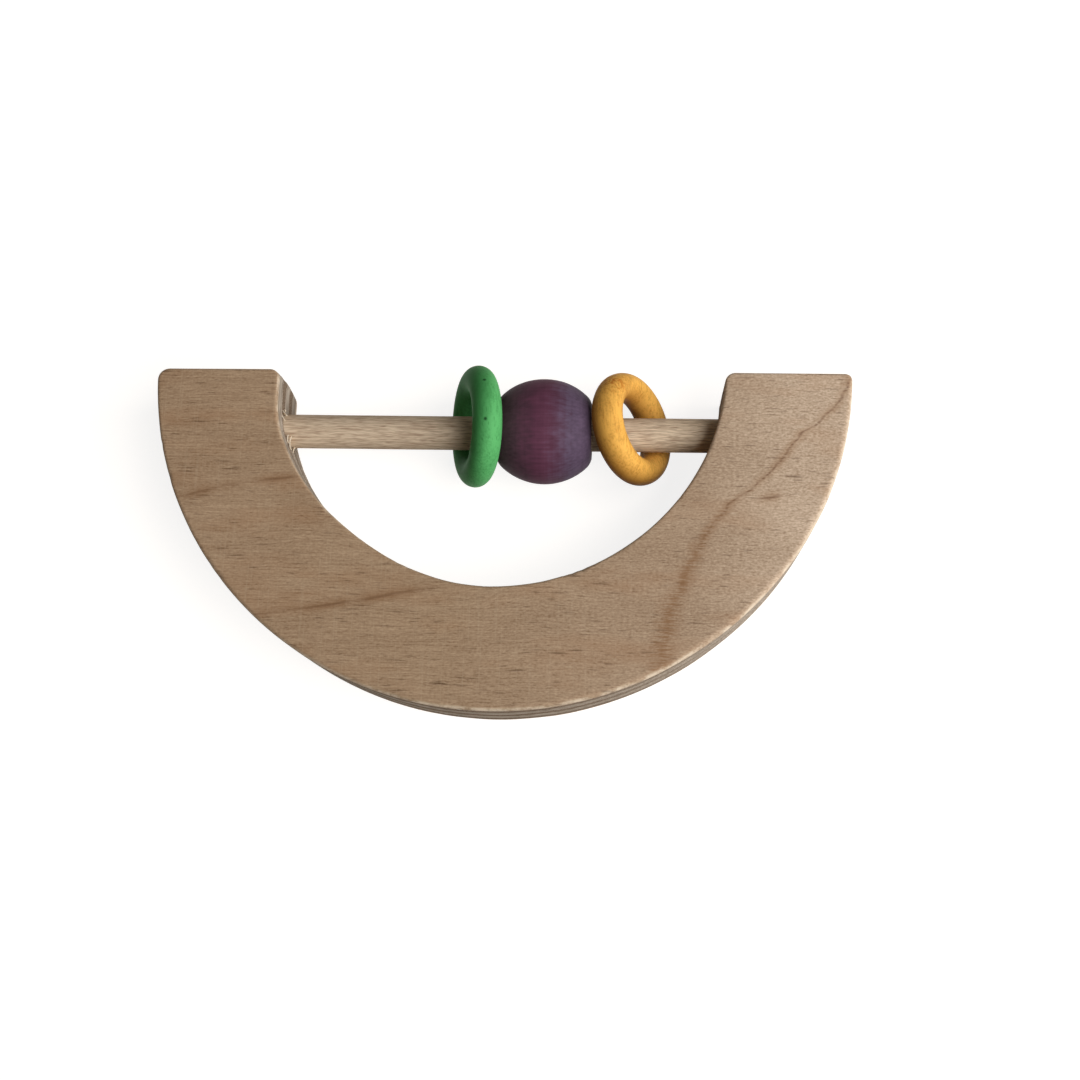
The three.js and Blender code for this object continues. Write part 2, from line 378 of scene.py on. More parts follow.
def face_veneer_material(s, name, with_figure):
    """Beech plywood face, a peeled veneer that is sanded and left bare: fine speckled grain, short dark ray
    flecks, a few brown late-wood lines, and pale wood where the edge is sanded through, painted palest on
    the side the light comes from. The face is also tinted with painted shade, darker away from the right
    arm."""
    material, tree, shader, place, normal = new_wood(name)

    # The grain waves by half a millimetre to either side over some 25 mm
    wave = add_noise(tree, place, (25, 9, 9))
    grain_place = add_vector_math(tree, "MULTIPLY_ADD", wave.outputs["Color"], (0, 2.4 * MM, 0), place)
    x = separate(tree, place)["X"]
    across_board = add_range(tree, x, -s.outer_radius, s.outer_radius, 0.0, 1.0)
    grain = 0.5
    for along, across, left_share, right_share in GRAIN_LAYERS:
        layer = add_noise(tree, grain_place, (along, across, across))
        centred = add_math(tree, "SUBTRACT", layer, 0.5)
        share = add_range(tree, across_board, 0.4, 0.9, left_share, right_share)
        grain = add_math(tree, "MULTIPLY_ADD", centred, share, grain)
    face = add_ramp(tree, grain, (0.2, s.face_dark), (0.8, s.face_light))

    # Soft brown clouds, 24 mm long and 7 mm high
    cloud = add_noise(tree, grain_place, (24, 7, 7), 2.0)
    clouded = add_range(tree, cloud, 0.5, 0.72, 0.0, 0.35)
    face = add_mix(tree, clouded, face, s.warm_patch)

    face = add_marks(tree, face, grain_place, DARK_FLECKS, s.fleck, "2D")
    face = add_marks(tree, face, grain_place, PALE_SPECKS, s.sanded_rim, "2D")

    # Sandpaper left pale scratches 0.3 mm wide across the grain
    scratch = add_noise(tree, place, (0.3, 14, 14), 0.0)
    strength = add_range(tree, across_board, 0.5, 0.8, 0.16, 0.04)
    scratched = add_range(tree, scratch, 0.6, 0.8, 0.0, strength)
    face = add_mix(tree, scratched, face, s.scratch)

    if with_figure:
        face = add_growth_lines(tree, s, place, face)

    # The face is darkest in the middle of the band and palest in the right arm: partly the board's own tone
    # and partly painted light and shade, brighter towards the right arm where the light falls
    tone = add_ramp(
        tree,
        across_board,
        (0.1, s.left_tone_and_shade),
        (0.44, s.middle_tone_and_shade),
        (0.78, s.right_tone_and_shade),
        (0.92, WHITE),
    )
    face = add_mix(tree, 1.0, face, tone, "MULTIPLY")

    # The rim turns away from the face's normal, and its wood is paler in patches. Where it faces the lower
    # right it is painted paler still: partly wear and partly painted light
    flat = add_math(tree, "ABSOLUTE", separate(tree, normal)["Z"])
    worn = add_noise(tree, place, (5, 5, 5), 4.0, Roughness=0.7)
    faces_worn_and_lit_side = add_vector_math(tree, "DOT_PRODUCT", normal, (*WORN_AND_LIT_SIDE, 0))
    most = add_range(tree, faces_worn_and_lit_side.outputs["Value"], 0.1, 0.6, 0.4, 0.9)
    paleness_and_light = add_range(tree, worn, 0.43, 0.57, 0.1, most)
    rim = add_range(tree, flat, 0.93, 0.6, 0.0, paleness_and_light)
    base = add_mix(tree, rim, face, s.sanded_rim)
    finish_wood(tree, shader, base, grain, 0.05 * MM, 0.65, 0.12)
    return material


def add_growth_lines(tree, s, place, face):
    """Brown late-wood lines over a face: each a soft brown band with a thin dark thread that comes and goes,
    and the lower part of the right one a band of short dashes along the grain."""
    in_mm = add_node(tree, "ShaderNodeVectorMath", {0: place, "Scale": 1 / MM}, operation="SCALE")
    xyz = separate(tree, in_mm.outputs["Vector"])
    x, y = xyz["X"], xyz["Y"]

    # Dashes 3 mm long and 0.45 mm high, and swells of 5 mm that shift and break the lines
    dashes = add_range(tree, add_noise(tree, place, (3, 0.45, 0.45)), 0.4, 0.6, 0.25, 1.0)
    swell = add_noise(tree, place, (5, 3, 5), 2.0)
    sway = add_math(tree, "MULTIPLY_ADD", swell, 1.6, -0.8)
    patchy = add_range(tree, swell, 0.35, 0.6, 0.35, 1.0)
    faded = add_range(tree, add_noise(tree, place, (9, 30, 30)), 0.4, 0.6, 0.3, 1.0)

    bands, threads = [], []
    for line in LEVEL_LINES:
        square, slope, level = line["bend"]
        bend = add_math(tree, "MULTIPLY_ADD", x, square, slope)
        bend = add_math(tree, "MULTIPLY_ADD", bend, x, level)
        off = add_math(tree, "SUBTRACT", y, bend)
        near = add_math(tree, "ABSOLUTE", add_math(tree, "MULTIPLY_ADD", sway, 0.5, off))
        start, end = line["from"], line["to"]
        taper = min(LONGEST_TAPER, (end - start) / 3)
        starts = add_range(tree, x, start, start + taper, 0.0, 1.0)
        ends = add_range(tree, x, end - taper, end, 1.0, 0.0)
        shown = add_math(tree, "MULTIPLY", add_math(tree, "MULTIPLY", starts, ends), faded)
        band = add_range(tree, near, 0.1, 1.7, line["band"], 0.0)
        bands.append(add_math(tree, "MULTIPLY", band, shown))
        thread = add_range(tree, near, 0.05, 0.4, line["thread"], 0.0)
        threads.append(add_math(tree, "MULTIPLY", thread, shown))

    # The ramp holds the right line's x over its y, as a share of its greatest x
    top, bottom = RIGHT_LINE[0][0], RIGHT_LINE[-1][0]
    furthest = RIGHT_LINE[0][1]
    stops = []
    for line_y, line_x in reversed(RIGHT_LINE):
        share = line_x / furthest
        stops.append(((line_y - bottom) / (top - bottom), (share, share, share, 1.0)))
    path = add_ramp(tree, add_range(tree, y, bottom, top, 0.0, 1.0), *stops)
    off = add_math(tree, "MULTIPLY_ADD", path, -furthest, x)
    near = add_math(tree, "ABSOLUTE", add_math(tree, "MULTIPLY_ADD", sway, 1.5, off))
    halo = add_range(tree, near, 0.2, 2.0, 0.45, 0.0)
    bands.append(add_math(tree, "MULTIPLY", halo, patchy))
    width = add_range(tree, y, 40.0, 8.0, 1.2, 3.6)
    fringe = add_range(tree, near, 0.2, width, 1.0, 0.0)
    dashed = add_math(tree, "MULTIPLY", fringe, dashes)
    low_share = add_range(tree, y, 45.0, 26.0, 0.2, 0.8)
    bands.append(add_math(tree, "MULTIPLY", dashed, low_share))
    thread = add_range(tree, near, 0.1, 0.5, 0.65, 0.0)
    high_share = add_range(tree, y, 20.0, 36.0, 0.0, 1.0)
    dotted = add_math(tree, "MULTIPLY", thread, high_share)
    threads.append(add_math(tree, "MULTIPLY", dotted, dashes))

    for masks, tint in ((bands, s.growth_line), (threads, s.growth_core)):
        together = masks[0]
        for mask in masks[1:]:
            together = add_math(tree, "MAXIMUM", together, mask)
        face = add_mix(tree, together, face, tint)
    return face


def ply_edge_material(s, name, grain_axis):
    """Beech ply seen at the sawn edge: pale, streaked side grain where the edge runs along the grain, and
    dark, rough end grain where it is cut across."""
    material, tree, shader, place, normal = new_wood(name)

    # Streaks 8 mm along the grain and 0.4 mm across it
    sizes = [8 if axis else 0.4 for axis in grain_axis]
    streak = add_noise(tree, place, sizes, 3.0, Roughness=0.6)
    cut = add_vector_math(tree, "DOT_PRODUCT", normal, grain_axis)
    end_on = add_math(tree, "ABSOLUTE", cut.outputs["Value"])
    end_share = add_range(tree, end_on, 0.7, 1.0, 0.15, 1.0)
    grain = add_mix(tree, end_share, s.side_grain, s.end_grain)
    shade = add_ramp(tree, streak, (0.3, linear("9b9289")), (0.62, WHITE))
    base = add_mix(tree, 1.0, grain, shade, "MULTIPLY")
    finish_wood(tree, shader, base, streak, 0.15 * MM, 0.85, 0.1)
    return material


def bare_beech_material(name, light, dark, fleck):
    """Beech, planed and left bare: pale, with soft streaks and fine, dark dashes that wave along its
    length."""
    material, tree, shader, place, _ = new_wood(name)
    wave = add_noise(tree, place, (6, 4, 4))
    sway = (0, 0.8 * MM, 0.8 * MM)
    waved = add_vector_math(tree, "MULTIPLY_ADD", wave.outputs["Color"], sway, place)
    ray = layered_noise(tree, waved, DOWEL_GRAIN, -0.05, 2.0)
    base = add_ramp(tree, ray, (0.34, dark), (0.6, light))

    # The wood is darker towards its left end
    darker_left = add_range(tree, separate(tree, place)["X"], -30 * MM, 40 * MM, 0.22, 0.0)
    base = add_mix(tree, darker_left, base, dark)
    base = add_marks(tree, base, waved, DOWEL_FLECKS, fleck)
    finish_wood(tree, shader, base, ray, 0.05 * MM, 0.6, 0.12)
    return material


def dyed_ring_material(name, light, dark, fleck, shade_side, shade_turn, marks):
    """Turned beech, dyed and waxed: fine grain and a soft satin shine, and painted shade, a darker colour on
    the side of the ring that faces away from the light. marks are open pores, or curled lines where the
    grain turns in the wood."""
    material, tree, shader, place, normal = new_wood(name)
    grain = layered_noise(tree, place, RING_GRAIN, -0.025, 1.0)
    base = add_ramp(tree, grain, (0.1, dark), (0.6, light))
    towards = add_vector_math(tree, "DOT_PRODUCT", normal, shade_side)
    # Painted shade: the ring is darkened on its side away from the light
    painted_shade = add_range(tree, towards.outputs["Value"], shade_turn, shade_turn + 1.2, 0.0, 0.9)
    base = add_mix(tree, painted_shade, base, dark)
    base = add_marks(tree, base, place, RING_FLECKS, fleck)

    # Curls are the level lines of a noise with swells of 2 mm
    level = add_math(tree, "PINGPONG", add_noise(tree, place, (2, 2, 2)), 0.12)
    lines = add_range(tree, level, 0.01, 0.06, MARK_STRENGTH, 0.0)
    for kind, centre, tint in marks:
        curled = kind == "curl"
        core, edge = CURL_REACH if curled else PORE_REACH
        strength = lines if curled else MARK_STRENGTH
        far = add_vector_math(tree, "DISTANCE", place, tuple(Vector(centre) * MM))
        spot = add_range(tree, far.outputs["Value"], core * MM, edge * MM, strength, 0.0)
        base = add_mix(tree, spot, base, tint)
    finish_wood(tree, shader, base, grain, 0.03 * MM, 0.5, 0.04)
    return material


def plum_bead_material(s):
    """Turned beech, dyed plum and waxed: the dye is redder in a band round the middle, and bluer and lighter
    at the end towards the light, partly the dye and partly a painted sheen. Grain runs along the bore, and
    the lathe left fine lines round it."""
    material, tree, shader, place, _ = new_wood("beech_dyed_plum")
    grain = layered_noise(tree, place, BEAD_GRAIN, -0.35, 2.0)
    half = s.bead_width / 2
    # Plum at the left end, redder in the middle, and lighter and bluer at the right end: partly dye, partly
    # painted sheen
    dye_place = add_range(tree, separate(tree, place)["X"], -half, half, -0.15, 0.85)
    sway = add_math(tree, "MULTIPLY_ADD", grain, 0.3, dye_place)
    dye = add_ramp(tree, sway, (0.2, s.plum), (0.44, s.magenta), (0.56, s.magenta), (0.78, s.violet_and_sheen))
    shade = add_ramp(tree, grain, (0.2, linear("c8c8c8")), (0.75, WHITE))
    base = add_mix(tree, 1.0, dye, shade, "MULTIPLY")
    finish_wood(tree, shader, base, grain, 0.03 * MM, 0.55, 0.05)
    return material


# Meshes


def add_piece(name, mesh, material, body):
    """A smooth piece with sharp corners, that rides on a body of the part."""
    mesh.shade_smooth()
    mesh.set_sharp_from_angle(angle=SHARP_EDGE)
    mesh.materials.append(material)
    piece = bpy.data.objects.new(name, mesh)
    bpy.context.scene.collection.objects.link(piece)
    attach(piece, body)
    return piece


def stand_for(name, node, mesh, material):
    """A piece in the place of a node of the part."""
    piece = add_piece(name, mesh, material, BODY_OF[node])
    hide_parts(node)
    return piece


def closed_mesh(name, points, faces):
    """A mesh whose faces all point outwards."""
    mesh = bpy.data.meshes.new(name)
    mesh.from_pydata([tuple(p) for p in points], [], faces)
    shape = bmesh.new()
    shape.from_mesh(mesh)
    bmesh.ops.recalc_face_normals(shape, faces=shape.faces)
    shape.to_mesh(mesh)
    shape.free()
    return mesh


def bridged(loops):
    """Quads between closed loops of points that follow each other."""
    faces = []
    for upper, lower in zip(loops, loops[1:]):
        for k in range(len(upper)):
            after = (k + 1) % len(upper)
            faces.append((upper[k], upper[after], lower[after], lower[k]))
    return faces


INNER_RIM = 1
CORNER_STEPS = 10
ARC_STEPS = 260
ROUND_STEPS = 5
BAND_STEPS = 10
PLY_BREAK = 0.1 * MM
FACE_LAP = 0.25 * MM
FULL_CORNER_REACH = 14 * MM

# Where the saw left more wood than the true arc: the middle of the stretch and how far it reaches
# to either side in degrees about the arc's centre, and how much wood in millimetres
OUTER_WANDER = (335, 35, 0.3)
INNER_WANDER = (234, 36, 0.95)

# Handwork along a rim: the length of its swells in millimetres and how strong they are. Chips are
# flakes of two sizes that come in clusters, and they start this many points from the corners. The
# inner rim is sanded narrower by a share.
SWAY_LENGTH, SWAY = 9, 0.06
UNEVEN_LENGTH, UNEVEN = 7, 0.3
CLUSTER_LENGTH, CLUSTER_BASE, CLUSTER_SWELL = 13, 0.3, 1.3
LONG_FLAKE, SHORT_FLAKE, SHORT_SHARE = 3.1, 1.3, 0.6
CHIP, LEAST_FLAKE, MOST_FLAKE = 2.2, 0.2, 0.6
WORN = 0.5
CHIP_REACH = 20
INNER_SHARPER = 0.3


def arc(centre, radius, start, end, steps, outward=1):
    """Points on an arc with the normals that point out of the wood."""
    angles = np.linspace(start, end, steps + 1)
    normals = np.column_stack((np.cos(angles), np.sin(angles)))
    return np.array(centre) + radius * normals, outward * normals


def chain(*arcs):
    """Arcs that meet end to end as one run of points and normals."""
    points = [arcs[0][0]] + [a[0][1:] for a in arcs[1:]]
    normals = [arcs[0][1]] + [a[1][1:] for a in arcs[1:]]
    return np.concatenate(points), np.concatenate(normals)


def wandered(points, normals, centre, wander):
    """Moves a stretch of a rim outwards, most in its middle."""
    middle, reach, most = wander
    angles = np.degrees(np.arctan2(points[:, 1] - centre.y, points[:, 0] - centre.x))
    off = np.abs((angles - middle + 180) % 360 - 180) / reach
    share = (1 + np.cos(math.pi * np.minimum(off, 1))) / 2
    return points + normals * share[:, None] * most * MM, normals


def half_ring_rims(s):
    """The outer and the inner rim from the left arm's end to the right one's, each as points and normals."""
    arm_end = FRONT_BOX[1].y
    centre = Vector((0, FRONT_BOX[0].y + s.outer_radius))
    opening = centre - Vector((s.opening_left, s.opening_drop))
    up, half_turn = math.pi / 2, math.pi

    def corner(radius, arc_centre, from_arc_centre):
        """How far the round of a corner is from the arc's centre, its height, and where it meets the arc."""
        y = arm_end - radius
        drop = arc_centre.y - y
        x = math.sqrt(from_arc_centre**2 - drop**2)
        return x, y, math.atan2(drop, x)

    left_x, left_y, left_dip = corner(s.left_corner, centre, s.outer_radius - s.left_corner)
    right_x, right_y, right_dip = corner(s.right_corner, centre, s.outer_radius - s.right_corner)
    outer_start, outer_end = half_turn + left_dip, 2 * half_turn - right_dip
    outer = chain(
        arc((centre.x - left_x, left_y), s.left_corner, up, outer_start, CORNER_STEPS),
        arc(centre, s.outer_radius, outer_start, outer_end, ARC_STEPS),
        arc((centre.x + right_x, right_y), s.right_corner, -right_dip, up, CORNER_STEPS),
    )
    inner_x, inner_y, inner_dip = corner(s.inner_corner, opening, s.inner_radius + s.inner_corner)
    inner_start, inner_end = half_turn + inner_dip, 2 * half_turn - inner_dip
    points, normals = chain(
        arc((opening.x - inner_x, inner_y), s.inner_corner, up, inner_dip, CORNER_STEPS),
        arc(opening, s.inner_radius, inner_start, inner_end, ARC_STEPS, -1),
        arc((opening.x + inner_x, inner_y), s.inner_corner, half_turn - inner_dip, up, CORNER_STEPS),
    )
    to_end = np.clip((points[:, 1] - arm_end + FULL_CORNER_REACH) / FULL_CORNER_REACH, 0, 1)
    eased = to_end**2 * (3 - 2 * to_end)
    points[:, 0] += np.where(points[:, 0] < 0, s.full_corner * eased, 0)
    inner = wandered(points, normals, opening, INNER_WANDER)
    return wandered(*outer, centre, OUTER_WANDER), inner


def left_wall_x(s, y):
    """Where the opening's left wall is at a height."""
    centre_y = FRONT_BOX[0].y + s.outer_radius - s.opening_drop
    return -s.opening_left - math.sqrt(s.inner_radius**2 - (centre_y - y) ** 2)


def rim_noise(points, size, seed):
    """Smooth noise along a rim, from -1 to 1, with swells of about the given size."""
    return np.array([noise.noise(Vector((x / size, y / size, seed))) for x, y in points])


def ply_mesh(name, rims, rows):
    """A closed sheet between the two rims. rows go from the top face round the edge to the bottom face, and
    each holds, for either rim, how far its points lie inside the rim and how high."""
    lines = []
    for row in rows:
        line = []
        for (points, normals), (inset, height) in zip(rims, row):
            line.append(np.column_stack((points - normals * inset[:, None], height)))
        lines.append(line)
    stations = len(rims[0][0])
    shares = np.linspace(0, 1, BAND_STEPS + 1)

    def sheet(row):
        outer, inner = row
        across = outer[:, None] * (1 - shares)[:, None] + inner[:, None] * shares[:, None]
        return across.reshape(-1, 3)

    def index(i, j):
        return i * (BAND_STEPS + 1) + j

    last = stations - 1
    edge_cells = (
        [(i, 0) for i in range(stations)]
        + [(last, j) for j in range(1, BAND_STEPS)]
        + [(i, BAND_STEPS) for i in reversed(range(stations))]
        + [(0, j) for j in reversed(range(1, BAND_STEPS))]
    )
    edge = [index(i, j) for i, j in edge_cells]
    sheets = [sheet(row) for row in lines]
    points = [sheets[0]] + [middle[edge] for middle in sheets[1:-1]] + [sheets[-1]]
    bottom_start = sum(len(p) for p in points[:-1])

    cells = [(i, j) for i in range(last) for j in range(BAND_STEPS)]
    quads = [(index(i, j), index(i + 1, j), index(i + 1, j + 1), index(i, j + 1)) for i, j in cells]
    faces = quads + [tuple(bottom_start + k for k in reversed(quad)) for quad in quads]
    loops = [edge]
    start = len(sheets[0])
    for _ in sheets[1:-1]:
        loops.append(list(range(start, start + len(edge))))
        start += len(edge)
    loops.append([bottom_start + k for k in edge])
    return closed_mesh(name, np.concatenate(points), faces + bridged(loops))


def ply_rows(s, rims, low, high, number, rounded):
    """The rows of one ply. An inner ply only breaks its sharp edges, and a face veneer has a sanded round
    on its face, uneven and chipped here and there, and widest at the lower right of the outer arc."""
    board = FRONT_BOX[1].z
    sides = []
    for rim, (points, normals) in enumerate(rims):
        place = np.arange(len(points))
        in_corner = (place < CORNER_STEPS) * (rim == INNER_RIM)
        bulge = s.bulge * in_corner * np.sin(math.pi * place / CORNER_STEPS)
        from_end = np.minimum(place, place[::-1]) - CORNER_STEPS
        on_arc = np.clip(from_end / CHIP_REACH, 0, 1)
        sway = SWAY * MM * rim_noise(points, SWAY_LENGTH * MM, number)
        uneven = UNEVEN * rim_noise(points, UNEVEN_LENGTH * MM, number + 0.5)
        swells = rim_noise(points, CLUSTER_LENGTH * MM, number + 0.9)
        clusters = np.clip(CLUSTER_BASE + CLUSTER_SWELL * swells, 0, 1)
        long_flakes = rim_noise(points, LONG_FLAKE * MM, number + 0.7)
        flakes = long_flakes + SHORT_SHARE * rim_noise(points, SHORT_FLAKE * MM, number + 0.2)
        chips = CHIP * clusters * np.clip(flakes - LEAST_FLAKE, 0, MOST_FLAKE)
        worn = WORN * np.clip(normals @ np.array(WORN_AND_LIT_SIDE), 0, 1)
        if rim == INNER_RIM:
            worn = -INNER_SHARPER
        radius = s.sanded_edge * (1 + on_arc * (uneven + chips) + worn)
        sides.append((sway, np.minimum(radius, high - low - 2 * PLY_BREAK), bulge))

    def row(inset, height):
        """Points at an inset from the rim and a height, each worked out from the sanded radius there."""
        made = []
        for sway, radius, bulge in sides:
            level = np.broadcast_to(height(radius), radius.shape)
            made.append((sway + inset(radius) - bulge * np.sin(math.pi * level / board), level))
        return made

    broken_top = [
        row(lambda radius: PLY_BREAK, lambda radius: high),
        row(lambda radius: 0.0, lambda radius: high - PLY_BREAK),
    ]
    broken_bottom = [
        row(lambda radius: 0.0, lambda radius: low + PLY_BREAK),
        row(lambda radius: PLY_BREAK, lambda radius: low),
    ]
    if not rounded:
        return broken_top + broken_bottom

    face, inwards = (high, -1) if rounded == "top" else (low, 1)
    rounds = [row(lambda radius: radius + FACE_LAP, lambda radius: face)]
    for turn in np.linspace(0, math.pi / 2, ROUND_STEPS + 1):
        in_share, down_share = 1 - math.sin(turn), inwards * (1 - math.cos(turn))
        rounds.append(row(lambda radius: radius * in_share, lambda radius: face + radius * down_share))
    if rounded == "top":
        return rounds + broken_bottom
    return broken_top + rounds[::-1]


def turned_mesh(name, profile, sides, wobble, seed):
    """A closed profile of (distance from the axis, place along it) turned about X, a little out of true as
    hand-turned wood is."""
    points = []
    for k in range(sides):
        angle = 2 * math.pi * k / sides
        for radius, along in profile:
            y, z = radius * math.cos(angle), radius * math.sin(angle)
            swell = 1 + wobble * noise.noise(Vector((along, y, z)) / (6 * MM) + Vector((seed, 0, 0)))
            points.append((along, y * swell, z * swell))
    count = len(profile)
    loops = [range(k * count, (k + 1) * count) for k in range(sides)]
    return closed_mesh(name, points, bridged(loops + loops[:1]))


def ring_profile(bore, section, width, steps=48):
    middle = (bore + section) / 2
    turns = [2 * math.pi * i / steps for i in range(steps)]
    return [(middle + section / 2 * math.cos(t), width / 2 * math.sin(t)) for t in turns]


def bead_profile(s, curve_steps=60, mouth_steps=6):
    """From the bore over one end, along the barrel and back into the bore at the other end. The barrel's
    curve bends over into the flat ends without a sharp edge."""
    half = s.bead_width / 2
    bore = s.bead_bore / 2
    end_angle = math.acos(s.bead_width / s.bead_curve)
    worn = s.bead_shoulder
    barrel = []
    for t in np.linspace(end_angle, math.pi - end_angle, curve_steps + 1):
        along = -s.bead_curve / 2 * math.cos(t)
        past = max(0.0, abs(along) - (half - worn)) / worn
        barrel.append((s.bead_diameter / 2 * math.sin(t) - 0.6 * worn * past**3, along))
    mouth = [
        (bore + s.bead_mouth * (1 - math.cos(t)), half - s.bead_mouth * (1 - math.sin(t)))
        for t in np.linspace(math.pi / 2, 0, mouth_steps + 1)
    ]
    first_mouth = [(radius, -along) for radius, along in reversed(mouth)]
    return first_mouth + barrel + mouth


def dowel_mesh(name, outer_radius, sides=72, spacing=2.0 * MM):
    """A rod along X. Its left end is sanded flush with the outer arc, and its right end is square."""
    arc_centre = FRONT_BOX[0].y + outer_radius
    right = DOWEL_BOX[1].x
    rows = int((right - DOWEL_BOX[0].x) / spacing)
    shares = (0.25, 0.5, 0.75, 1.0)
    points = []

    def flush_x(y):
        return -math.sqrt(outer_radius**2 - (arc_centre - y) ** 2)

    def circle(radius, place):
        for k in range(sides):
            angle = 2 * math.pi * k / sides
            y = DOWEL_AXIS.y + radius * math.cos(angle)
            z = DOWEL_AXIS.z + radius * math.sin(angle)
            left = flush_x(y)
            points.append((left + place * (right - left), y, z))

    points.append((flush_x(DOWEL_AXIS.y), DOWEL_AXIS.y, DOWEL_AXIS.z))
    for share in shares:
        circle(share * DOWEL_RADIUS, 0.0)
    for row in range(1, rows + 1):
        place = row / rows
        swell = 1 + 0.008 * noise.noise(Vector((place * 9, 0.3, 0.7)))
        circle(DOWEL_RADIUS * swell, place)
    points.append((right, DOWEL_AXIS.y, DOWEL_AXIS.z))
    last = len(points) - 1
    loops = [range(start, start + sides) for start in range(1, last, sides)]
    faces = bridged(loops)
    for k in range(sides):
        after = (k + 1) % sides
        faces.append((0, loops[0][after], loops[0][k]))
        faces.append((loops[-1][k], loops[-1][after], last))
    return closed_mesh(name, points, faces)


def drilled(piece, glue_gap):
    """Cuts the dowel's hole out of a ply."""
    bit_mesh = bpy.data.meshes.new("drill_bit")
    shape = bmesh.new()
    start = DOWEL_BOX[0].x - 5 * MM
    end = DOWEL_BOX[1].x + glue_gap
    to_dowel = Matrix.Translation(((start + end) / 2, DOWEL_AXIS.y, DOWEL_AXIS.z))
    bmesh.ops.create_cone(
        shape,
        cap_ends=True,
        segments=72,
        radius1=DOWEL_RADIUS + glue_gap,
        radius2=DOWEL_RADIUS + glue_gap,
        depth=end - start,
        matrix=to_dowel @ Matrix.Rotation(math.pi / 2, 4, "Y"),
    )
    shape.to_mesh(bit_mesh)
    shape.free()
    bit = bpy.data.objects.new("drill_bit", bit_mesh)
    bpy.context.scene.collection.objects.link(bit)
    cut = piece.modifiers.new("Dowel hole", "BOOLEAN")
    cut.operation = "DIFFERENCE"
    cut.solver = "EXACT"
    cut.object = bit
    graph = bpy.context.evaluated_depsgraph_get()
    mesh = bpy.data.meshes.new_from_object(piece.evaluated_get(graph))
    piece.modifiers.clear()
    piece.data = mesh
    mesh.set_sharp_from_angle(angle=SHARP_EDGE)
    bpy.data.objects.remove(bit)
    bpy.data.meshes.remove(bit_mesh)


def kept_part(mesh, keeps):
    """A copy of a mesh with only the points that keeps says yes to."""
    part = mesh.copy()
    shape = bmesh.new()
    shape.from_mesh(part)
    away = [v for v in shape.verts if not keeps(v.co)]
    bmesh.ops.delete(shape, geom=away, context="VERTS")
    shape.to_mesh(part)
    shape.free()
    return part


# Operators

PLIES = (
    "back_face_veneer",
    "back_cross_ply",
    "back_inner_ply",
    "core_ply",
    "front_inner_ply",
    "front_cross_ply",
    "front_face_veneer",
)
DRILLED_PLIES = ("back_inner_ply", "core_ply", "front_inner_ply")


class RATTLE_OT_half_ring(bpy.types.Operator):
    """Build the seven plies of the half ring, drilled for the dowel"""

    bl_idname = "rattle.half_ring"
    bl_label = "Half Ring"

    def execute(self, context):
        s = context.scene.rattle_half_ring
        rims = half_ring_rims(s)
        woods = {
            "front_face_veneer": face_veneer_material(s, "beech_plywood_face_sanded", True),
            "back_face_veneer": face_veneer_material(s, "beech_plywood_back_sanded", False),
            "long_ply": ply_edge_material(s, "beech_ply_sawn_long", (1, 0, 0)),
            "cross_ply": ply_edge_material(s, "beech_ply_sawn_cross", (0, 1, 0)),
        }
        rounded = {"front_face_veneer": "top", "back_face_veneer": "bottom"}
        for number, node in enumerate(PLIES):
            low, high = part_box(node)
            rows = ply_rows(s, rims, low.z, high.z, number, rounded.get(node))
            wood = woods.get(node) or woods[SLOT_OF[node]]
            piece = stand_for(node + "_sheet", node, ply_mesh(node + "_sheet", rims, rows), wood)
            if node in DRILLED_PLIES:
                drilled(piece, context.scene.rattle_dowel.glue_gap)
            if node == "core_ply":
                self.part_arm_end(piece, wood)
        return {"FINISHED"}

    def part_arm_end(self, core, wood):
        """The hole is wider than the core is thick, so it cuts the end of the left arm off it."""

        def in_arm_end(point):
            return point.x < 0 and point.y > DOWEL_AXIS.y

        arm_end = kept_part(core.data, in_arm_end)
        core.data = kept_part(core.data, lambda point: not in_arm_end(point))
        arm_end.materials.clear()
        stand_for("core_ply_arm_end_sheet", "core_ply_arm_end", arm_end, wood)


# Fibres torn up round the hole in the left arm: where each starts round the hole in degrees, counted
# from +Y towards +Z, and how long it is, how far its end stands off the wall and how wide it is, in
# millimetres
TORN_FIBRES = (
    (2, 2.0, 0.7, 1.5),
    (24, 2.6, 1.2, 1.6),
    (46, 2.2, 0.7, 1.2),
    (142, 1.6, 0.6, 0.9),
    (160, 2.6, 1.3, 1.3),
    (186, 1.6, 0.9, 1.0),
)
FIBRE_STEPS = 5
FIBRE_THICKNESS = 0.25 * MM


